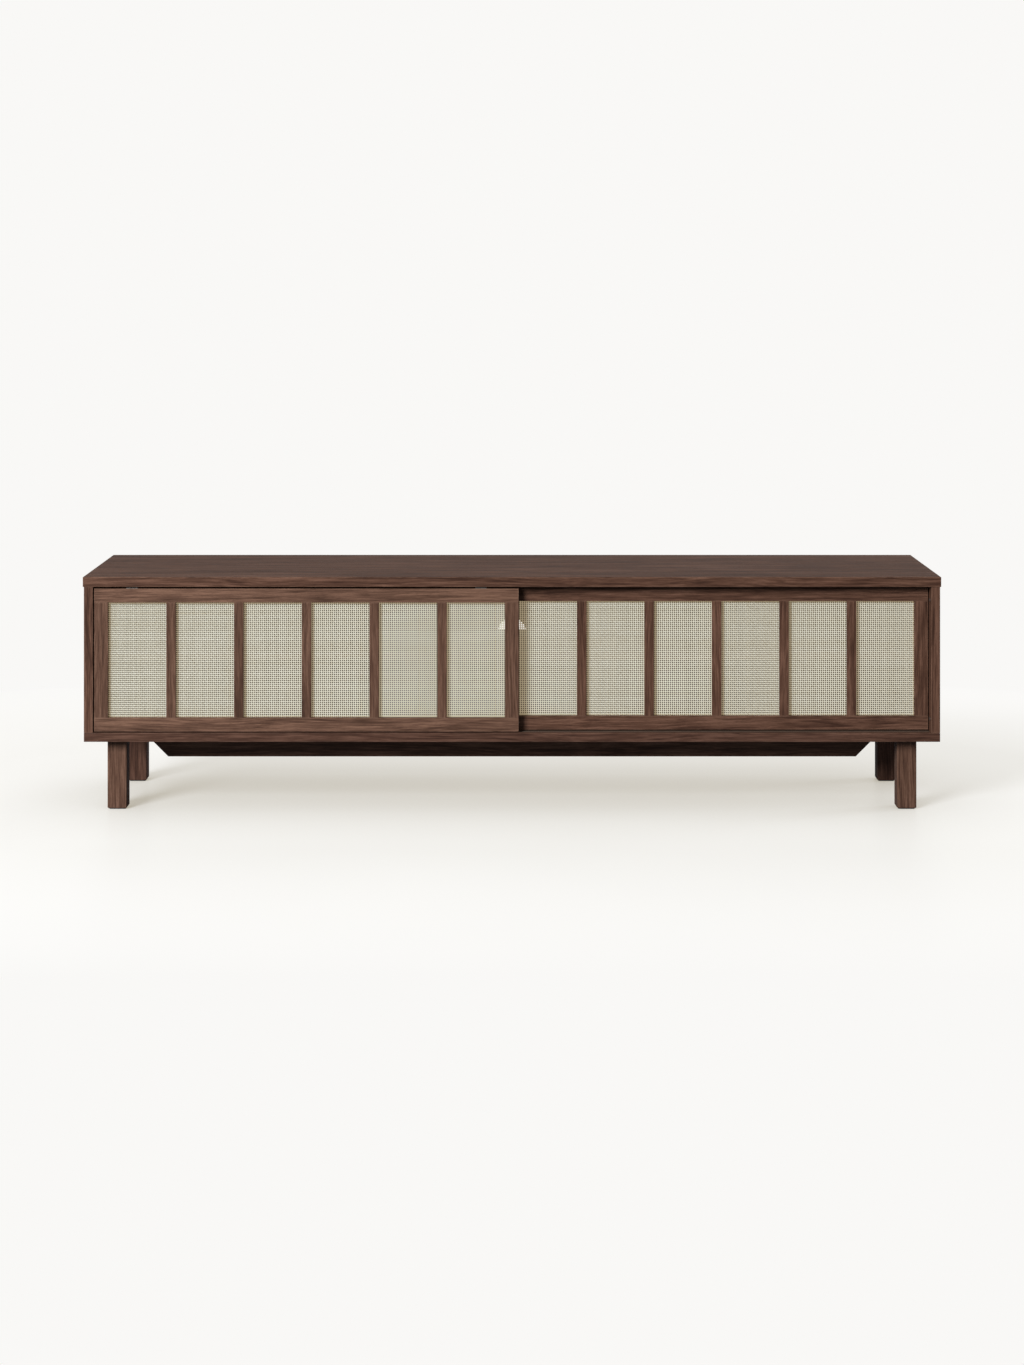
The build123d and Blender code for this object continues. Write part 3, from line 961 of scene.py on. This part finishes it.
@dataclass
class SlidingDoor:
    """One sliding door: its oak frame, its webbing and its running gear."""

    name: str
    rail_finish: StainedOak
    upright_finish: StainedOak
    seed: int

    def build(self, frame: dict, cane: bpy.types.Material) -> None:
        """Finish the frame and weave the webbing.

        Args:
            frame: the loaded frame.
            cane: the strands' finish.
        """
        rails = {f"{self.name}_{part}": Grain.ALONG_X for part in ("top_rail", "bottom_rail")}
        parts = ("left_stile", "right_stile", "muntins")
        uprights = {f"{self.name}_{part}": Grain.ALONG_Z for part in parts}
        Boards(self.rail_finish, rails, self.seed).dress(frame)
        Boards(self.upright_finish, uprights, self.seed + len(rails)).dress(frame)
        self.weave(cane)

    def weave(self, cane: bpy.types.Material) -> None:
        """The webbing, in the space that its plain sheet holds.

        Args:
            cane: the strands' finish.
        """
        node = f"{self.name}_cane"
        low, high = node_corners(node)
        webbing = Webbing(low, high, seed=self.seed)
        piece = webbing.piece(f"{self.name}_cane_webbing")
        stand_in(piece, cane, self.name, node)


def solid_boxes(node: bpy.types.Object) -> list[tuple[np.ndarray, np.ndarray]]:
    """The lowest and highest corners of each separate solid in a node.

    Args:
        node: the carried-over object.

    Returns:
        A pair of corners for each solid, in metres.
    """
    mesh = node.data
    places = np.array([node.matrix_world @ vertex.co for vertex in mesh.vertices])
    welded = np.unique(places.round(6), axis=0, return_inverse=True)[1].ravel()
    parent = list(range(int(welded.max()) + 1))

    def root(i: int) -> int:
        """The number that stands for a point's solid."""
        while parent[i] != i:
            parent[i] = parent[parent[i]]
            i = parent[i]
        return i

    for edge in mesh.edges:
        parent[root(welded[edge.vertices[0]])] = root(welded[edge.vertices[1]])
    owners = np.array([root(i) for i in welded])
    groups = [places[owners == owner] for owner in np.unique(owners)]
    return [(group.min(axis=0), group.max(axis=0)) for group in groups]


@dataclass
class BackScrews:
    """The countersunk screws that hold the back panel, heads to the rear."""

    node: str = "back_panel_screws"
    shank_share: float = 0.5
    head_share: float = 0.6
    seed: int = 91

    def build(self, frame: dict, metal: bpy.types.Material) -> None:
        """One recessed screw for each plain one, each turned its own way.

        Args:
            frame: the loaded frame.
            metal: their finish.
        """
        chance = np.random.default_rng(self.seed)
        mesh = Mesh()
        for low, high in solid_boxes(frame["nodes"][self.node]):
            radius = (high[0] - low[0]) / 2
            shank, head = radius * self.shank_share, radius * self.head_share
            points, faces = CrossScrew(radius, shank, head, high[1] - low[1]).solid()
            turn = chance.uniform(0, math.pi / 2)
            x = points[:, 0] * math.cos(turn) - points[:, 1] * math.sin(turn)
            y = points[:, 0] * math.sin(turn) + points[:, 1] * math.cos(turn)
            middle = (low + high) / 2
            placed = np.stack([middle[0] - x, high[1] + points[:, 2], middle[2] + y], axis=1)
            mesh.take(placed, faces)
        piece = mesh.piece("back_panel_cross_screws", smooth=False)
        stand_in(piece, metal, "carcass", self.node)


@dataclass(frozen=True)
class SoftBox:
    """A soft light hung round the cabinet and aimed at its middle."""

    name: str
    azimuth: float
    elevation: float
    distance: float
    size: float
    power: float
    colour: Rgb = (1.0, 1.0, 1.0)
    glossy: bool = True

    def hang(self, aim_height: float) -> None:
        """Place the light.

        Args:
            aim_height: the height that it points at.
        """
        light = bpy.data.lights.new(self.name, "AREA")
        light.shape = "DISK"
        light.size = self.size
        light.energy = self.power
        light.color = self.colour
        turn, rise = math.radians(self.azimuth), math.radians(self.elevation)
        lamp = bpy.data.objects.new(self.name, light)
        lamp.location = (
            self.distance * math.cos(rise) * math.sin(turn),
            -self.distance * math.cos(rise) * math.cos(turn),
            aim_height + self.distance * math.sin(rise),
        )
        lamp.rotation_euler = (math.pi / 2 - rise, 0, turn)
        lamp.visible_camera = False
        lamp.visible_glossy = self.glossy
        bpy.context.collection.objects.link(lamp)


@dataclass
class Studio:
    """Pale floor, soft light and the camera."""

    camera_height: float = 1.1476
    camera_distance: float = 5.2
    focal: float = 65.42
    shift: float = -0.3053
    view_end: float = 200.0
    floor_half: float = 60.0
    ambient: float = 0.55
    ambient_colour: Rgb = (1.0, 0.99, 0.975)
    aim_height: float = 0.3
    key: SoftBox = SoftBox("key_light", -34.2, 23.0, 8.5, 3.2, 1500.0, (1.0, 0.985, 0.96))
    back: SoftBox = SoftBox("back_fill", 160.0, 32.0, 3.6, 2.4, 40.0, glossy=False)
    side: SoftBox = SoftBox("side_fill", 102.0, 8.0, 3.6, 1.0, 55.0, glossy=False)

    def build(self, front: float) -> None:
        """Set the stage.

        Args:
            front: the Y of the cabinet's front.
        """
        self.floor()
        self.sky()
        for light in (self.key, self.back, self.side):
            light.hang(self.aim_height)
        self.camera(front)

    def floor(self) -> None:
        """A wide floor under the feet."""
        half = self.floor_half
        mesh = Mesh()
        corners = np.array([(-half, -half, 0), (half, -half, 0), (half, half, 0), (-half, half, 0)])
        mesh.take(corners.astype(float), [np.array([[0, 1, 2, 3]])])
        floor = mesh.piece("studio_floor", smooth=False)
        floor.data.materials.append(Sweep().material())
        floor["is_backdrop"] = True

    def sky(self) -> None:
        """An even pale surround, brighter to the eye than the light that it gives."""
        world = bpy.data.worlds.new("studio_surround")
        bpy.context.scene.world = world
        world.use_nodes = True
        tree = world.node_tree
        lighting = tree.nodes["Background"]
        lighting.inputs["Color"].default_value = (*self.ambient_colour, 1.0)
        lighting.inputs["Strength"].default_value = self.ambient
        seen = tree.nodes.new("ShaderNodeBackground")
        seen.inputs["Color"].default_value = (*Sweep.backdrop, 1.0)
        path = tree.nodes.new("ShaderNodeLightPath")
        choice = tree.nodes.new("ShaderNodeMixShader")
        tree.links.new(path.outputs["Is Camera Ray"], choice.inputs[0])
        tree.links.new(lighting.outputs[0], choice.inputs[1])
        tree.links.new(seen.outputs[0], choice.inputs[2])
        tree.links.new(choice.outputs[0], tree.nodes["World Output"].inputs["Surface"])

    def camera(self, front: float) -> None:
        """A level camera in front of the middle, its view shifted down.

        Args:
            front: the Y of the cabinet's front.
        """
        data = bpy.data.cameras.new("camera")
        data.lens = self.focal
        data.shift_y = self.shift
        data.clip_end = self.view_end
        camera = bpy.data.objects.new("camera", data)
        camera.location = (0, front - self.camera_distance, self.camera_height)
        camera.rotation_euler = (math.pi / 2, 0, 0)
        bpy.context.collection.objects.link(camera)
        bpy.context.scene.camera = camera
        bpy.context.scene.view_settings.view_transform = "Standard"


CASE_GRAINS = {
    "top_panel": Grain.ALONG_X,
    "left_side_panel": Grain.ALONG_Z,
    "right_side_panel": Grain.ALONG_Z,
}
UNDERFRAME_GRAINS = {
    "front_left_leg": Grain.ALONG_Z,
    "front_right_leg": Grain.ALONG_Z,
    # painted light: the beam sits in the case's shade and takes this lighter finish to lift it
    "stiffener_beam": Grain.ALONG_X,
}
# painted shade: the rear legs take the darker base finish for the shadow of the case over them
BASE_AND_SHADE_GRAINS = {
    "bottom_panel": Grain.ALONG_X,
    "rear_left_leg": Grain.ALONG_Z,
    "rear_right_leg": Grain.ALONG_Z,
}
INNER_GRAINS = {
    "centre_divider": Grain.ALONG_Z,
    "back_panel": Grain.ALONG_X,
    "left_shelf": Grain.ALONG_X,
    "right_shelf": Grain.ALONG_X,
}
DOORS = ("front_door", "rear_door")


def per_door(*names: str) -> tuple[str, ...]:
    """The node names of small parts that both doors have."""
    return tuple(f"{door}_{name}" for door in DOORS for name in names)


def fittings() -> list[Fittings]:
    """Every small part that keeps its shape, by finish."""
    grey = Plastic("grey_acetal", (0.085, 0.082, 0.078), (0.110, 0.107, 0.103))
    brown = Plastic("brown_track", (0.035, 0.022, 0.016), (0.050, 0.032, 0.023))
    black = Plastic("black_nylon", (0.012, 0.011, 0.010), (0.022, 0.020, 0.018), roughness=0.5)
    rubber = Plastic("brown_rubber", (0.022, 0.013, 0.010), (0.034, 0.021, 0.016), roughness=0.6)
    beech = Reed("bare_beech", (0.46, 0.30, 0.17), (0.66, 0.48, 0.30), Grain.ALONG_Z)
    reed = Reed("reed_spline", (0.50, 0.38, 0.22), (0.74, 0.62, 0.42))
    rollers = ("left_roller", "right_roller")
    plungers = per_door("left_guide_plunger", "right_guide_plunger")
    hidden_steel = ("shelf_pins", "cam_bolts", "leg_studs", "leg_inserts", "beam_screws")
    exposed_steel = ("cam_locks", *per_door("roller_axles"))
    return [
        Fittings(grey, (*per_door("guide_housings"), *plungers, "rear_door_spacer_pad")),
        Fittings(brown, ("lower_track", "upper_track")),
        Fittings(black, ("foot_glides", *per_door("roller_housings", *rollers))),
        Fittings(rubber, ("door_buffers",)),
        Fittings(beech, ("case_dowels", *per_door("dowels"))),
        Fittings(reed, per_door("cane_beads")),
        Fittings(ZincPlate(), hidden_steel + exposed_steel),
    ]


def main() -> None:
    """Load the frame, dress and build every piece, and set the stage."""
    logging.basicConfig(level=logging.INFO)
    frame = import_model()
    cad_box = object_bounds()
    Studio().build(front=float(cad_box[0][1]))
    Boards(CASE_OAK, CASE_GRAINS, first_seed=10).dress(frame)
    Boards(UPRIGHT_OAK, UNDERFRAME_GRAINS, first_seed=20).dress(frame)
    Boards(BASE_AND_SHADE_OAK, BASE_AND_SHADE_GRAINS, first_seed=30).dress(frame)
    Boards(INNER_OAK, INNER_GRAINS, first_seed=40).dress(frame)
    cane = CaneSkin().material()
    # painted shade: the front door's uprights take the darker upright finish
    SlidingDoor("front_door", DOOR_OAK, UPRIGHT_OAK, seed=60).build(frame, cane)
    SlidingDoor("rear_door", CASE_OAK, CASE_OAK, seed=70).build(frame, cane)
    spring_steel = ZincPlate("spring_steel").material()
    for door in DOORS:
        for side in ("left", "right"):
            GuideSpring(door, side).build(frame, spring_steel)
    for group in fittings():
        group.dress(frame)
    BackScrews().build(frame, ZincPlate("screw_zinc").material())


if __name__ == "__main__":
    main()
